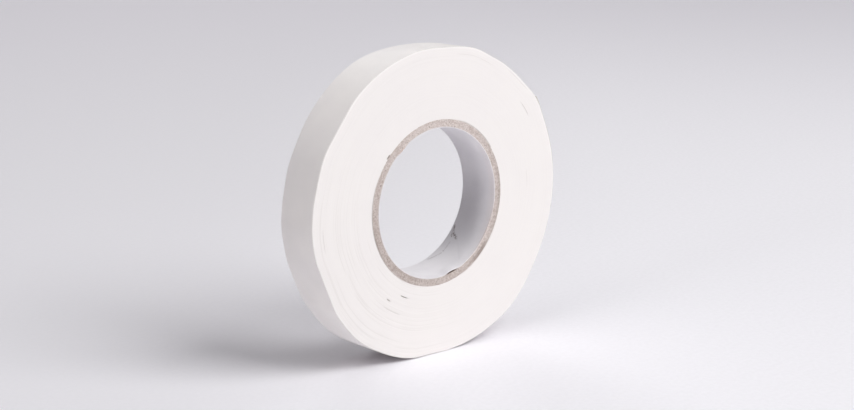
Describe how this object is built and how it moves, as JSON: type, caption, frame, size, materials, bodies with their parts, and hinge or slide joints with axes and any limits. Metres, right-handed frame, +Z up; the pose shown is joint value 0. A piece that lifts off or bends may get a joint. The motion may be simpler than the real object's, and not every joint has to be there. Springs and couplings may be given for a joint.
{
  "type": "roll of cloth tape",
  "caption": "Roll of white cloth tape on a spiral-wound paperboard core, standing on its rim, with a free end of tape that lifts off the roll.",
  "frame": {"origin": "on the floor, in the middle of the flat that the roll stands on, under the middle of its axis", "axes": "+Y along the roll's axis, from its front face to its back face; +Z up; the free end of the tape is at the upper right, on +X"},
  "size_m": [0.1587, 0.024, 0.157],
  "materials": {
    "liner_paper": "smooth white paper, scuffed",
    "core_board": "cut edge of grey-brown board",
    "tape_side": "cut edges of white tape, matt",
    "tape_film": "white film over a fine weave, soft sheen",
    "tape_cloth": "plain white weave",
    "tape_adhesive": "tacky off-white rubber adhesive"
  },
  "bodies": {
    "roll": {"core_liner": "liner_paper", "core_ply_1": "core_board", "core_ply_2": "core_board", "core_ply_3": "core_board", "core_ply_4": "core_board", "core_ply_5": "core_board", "core_ply_6": "core_board", "wound_tape": "tape_side", "outer_adhesive": "tape_adhesive", "outer_cloth": "tape_cloth", "outer_film": "tape_film"},
    "tail_1": {"tail_adhesive_1": "tape_adhesive", "tail_cloth_1": "tape_cloth", "tail_film_1": "tape_film"},
    "tail_2": {"tail_adhesive_2": "tape_adhesive", "tail_cloth_2": "tape_cloth", "tail_film_2": "tape_film"},
    "tail_3": {"tail_adhesive_3": "tape_adhesive", "tail_cloth_3": "tape_cloth", "tail_film_3": "tape_film"}
  },
  "joints": [
    {"name": "tail_peel", "type": "hinge", "parent": "roll", "child": "tail_1", "pos_m": [0.07951, 0, 0.07989], "axis": [0, 1, 0], "range_deg": [0, 30]},
    {"name": "tail_bend_1", "type": "hinge", "parent": "tail_1", "child": "tail_2", "pos_m": [0.07772, 0, 0.09481], "axis": [0, 1, 0], "range_deg": [0, 30]},
    {"name": "tail_bend_2", "type": "hinge", "parent": "tail_2", "child": "tail_3", "pos_m": [0.07315, 0, 0.10913], "axis": [0, 1, 0], "range_deg": [0, 30]}
  ],
  "couplings": [
    {"joint": "tail_bend_1", "follows": "tail_peel", "ratio": 1},
    {"joint": "tail_bend_2", "follows": "tail_peel", "ratio": 1}
  ]
}
